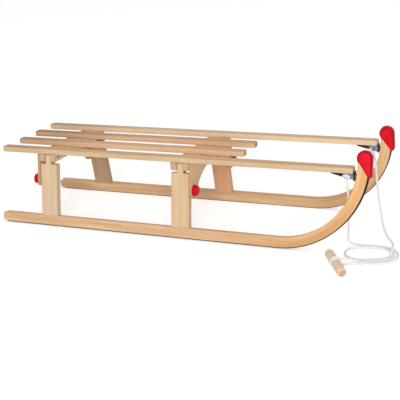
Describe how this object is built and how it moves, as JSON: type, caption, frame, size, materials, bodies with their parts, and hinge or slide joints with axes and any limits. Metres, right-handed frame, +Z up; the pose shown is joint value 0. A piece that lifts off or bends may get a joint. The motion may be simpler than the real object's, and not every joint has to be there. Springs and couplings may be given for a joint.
{
  "type": "folding wooden sled",
  "caption": "Slatted wooden sled with bent steel-shod runners that fold outward, capped horns, locking knobs and a pull rope.",
  "frame": {"origin": "on the floor, under the middle of the sled's length and width, rope and handle left out", "axes": "+X forward to the horns, +Y to the rider's left, +Z up"},
  "size_m": [1.1739, 0.4793, 0.2679],
  "materials": {
    "beech_outer_slats": "clear satin varnish",
    "beech_inner_slats": "clear satin varnish",
    "beech_beams": "clear satin varnish",
    "beech_legs": "clear satin varnish",
    "beech_runners": "clear satin varnish",
    "beech_handle": "sanded",
    "zinc_steel": "zinc plated",
    "dark_steel": "dark rolled steel strip",
    "red_plastic": "satin moulded plastic",
    "white_rope": "braided cord"
  },
  "bodies": {
    "seat": {"slat_outer_right": "beech_outer_slats", "slat_outer_left": "beech_outer_slats", "slat_inner_right": "beech_inner_slats", "slat_inner_left": "beech_inner_slats", "crossbeam_rear": "beech_beams", "bridge_board_rear": "beech_beams", "crossbeam_front": "beech_beams", "bridge_board_front": "beech_beams", "hinge_pin_rear_right": "zinc_steel", "knob_rear_right": "red_plastic", "hinge_pin_rear_left": "zinc_steel", "knob_rear_left": "red_plastic", "hinge_pin_front_right": "zinc_steel", "knob_front_right": "red_plastic", "hinge_pin_front_left": "zinc_steel", "knob_front_left": "red_plastic", "horn_bracket_right": "zinc_steel", "horn_bolt_right": "zinc_steel", "rope_knot_right": "white_rope", "horn_bracket_left": "zinc_steel", "horn_bolt_left": "zinc_steel", "rope_knot_left": "white_rope", "tow_rope": "white_rope", "pull_handle": "beech_handle"},
    "frame_right": {"runner_right": "beech_runners", "runner_band_right": "dark_steel", "horn_cap_right": "red_plastic", "leg_rear_right": "beech_legs", "leg_front_right": "beech_legs"},
    "frame_left": {"runner_left": "beech_runners", "runner_band_left": "dark_steel", "horn_cap_left": "red_plastic", "leg_rear_left": "beech_legs", "leg_front_left": "beech_legs"}
  },
  "joints": [
    {"name": "fold_right", "type": "hinge", "parent": "seat", "child": "frame_right", "pos_m": [0, -0.129, 0.1995], "axis": [-1, 0, 0], "range_deg": [0, 80]},
    {"name": "fold_left", "type": "hinge", "parent": "seat", "child": "frame_left", "pos_m": [0, 0.129, 0.1995], "axis": [1, 0, 0], "range_deg": [0, 80]}
  ]
}
